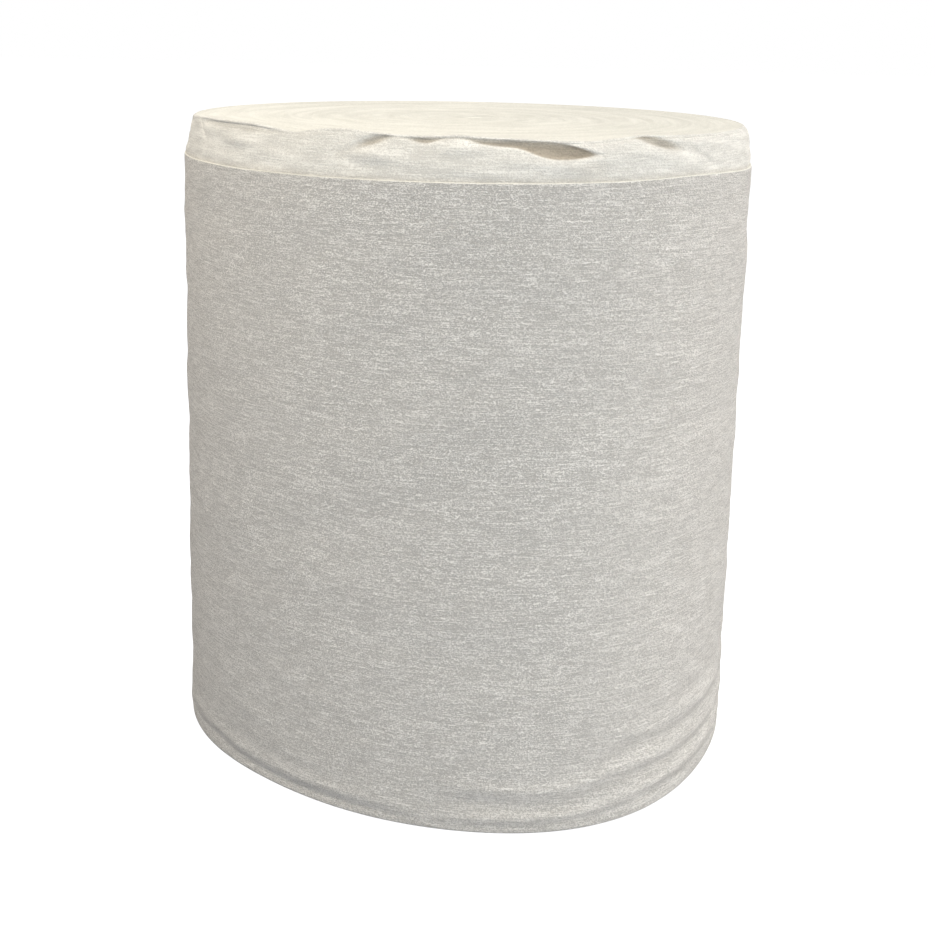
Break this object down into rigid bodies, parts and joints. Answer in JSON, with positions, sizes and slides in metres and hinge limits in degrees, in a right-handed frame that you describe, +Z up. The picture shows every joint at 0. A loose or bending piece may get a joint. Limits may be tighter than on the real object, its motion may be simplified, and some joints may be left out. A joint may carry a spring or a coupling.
{
  "type": "roll of cleaning wipers",
  "caption": "Thick roll of soft white nonwoven cleaning wipers standing on its end, its outer turn slipped down and bunched at the base.",
  "frame": {"origin": "centre of the box round the roll, on the surface that it stands on", "axes": "+Z up along the roll's axis, from the base to the turn ends on top; the pictured front, with the base folds at its right, faces -Y"},
  "size_m": [0.2302, 0.2364, 0.25],
  "materials": {
    "nonwoven": "matte"
  },
  "bodies": {
    "root": {"wiper_roll": "nonwoven"}
  },
  "joints": []
}
